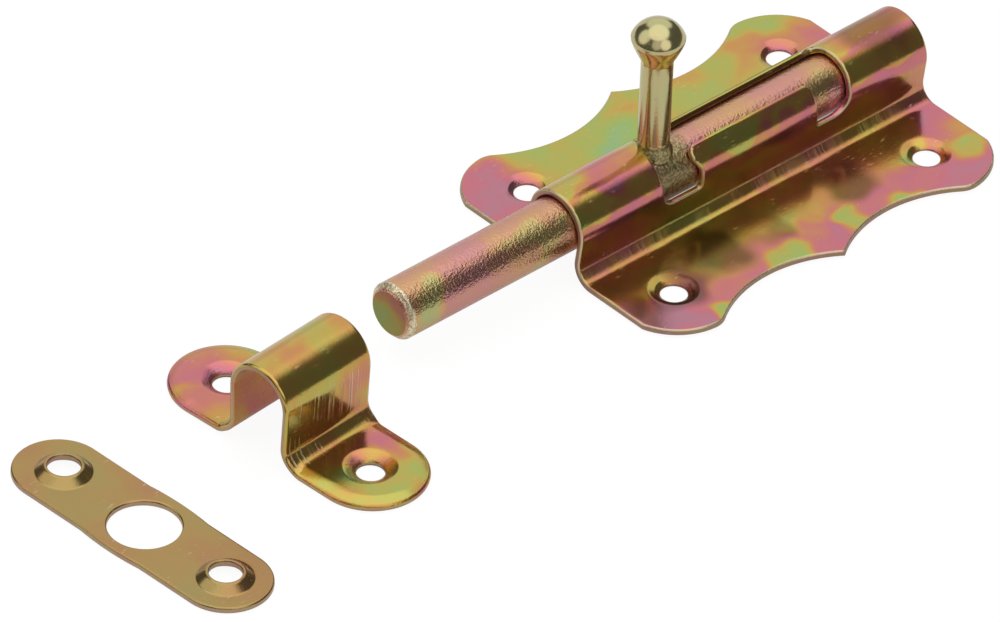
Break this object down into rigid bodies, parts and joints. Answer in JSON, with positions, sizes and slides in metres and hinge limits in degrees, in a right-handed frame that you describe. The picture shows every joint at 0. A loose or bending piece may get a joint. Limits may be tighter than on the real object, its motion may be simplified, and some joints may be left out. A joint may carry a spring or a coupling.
{
  "type": "barrel bolt",
  "caption": "Barrel bolt set: pressed plate with a bayonet-slotted tube housing, round sliding bolt with a domed turn knob, arched keeper and flat strike plate.",
  "frame": {"origin": "centre of the bolt plate's four screw holes, on its mounting plane", "axes": "+X from the bolt's tip towards its rear end, +Z away from the door, -Y the side to which the knob turns down"},
  "size_m": [0.2175, 0.0753, 0.048],
  "materials": {
    "yellow_zinc": "glossy yellow-passivated zinc plate with rainbow tints",
    "pale_zinc": "bright pale yellow zinc plate"
  },
  "bodies": {
    "base": {"bolt_plate": "yellow_zinc", "keeper": "yellow_zinc", "strike_plate": "yellow_zinc"},
    "bolt": {"bolt_bar": "yellow_zinc"},
    "turn_knob": {"knob": "pale_zinc"}
  },
  "joints": [
    {"name": "bolt_slide", "type": "slide", "parent": "base", "child": "bolt", "axis": [1, 0, 0], "range_m": [0, 0.0416]},
    {"name": "knob_turn", "type": "hinge", "parent": "bolt", "child": "turn_knob", "pos_m": [-0.0207, 0, 0.0109], "axis": [1, 0, 0], "range_deg": [0, 77.5]}
  ]
}
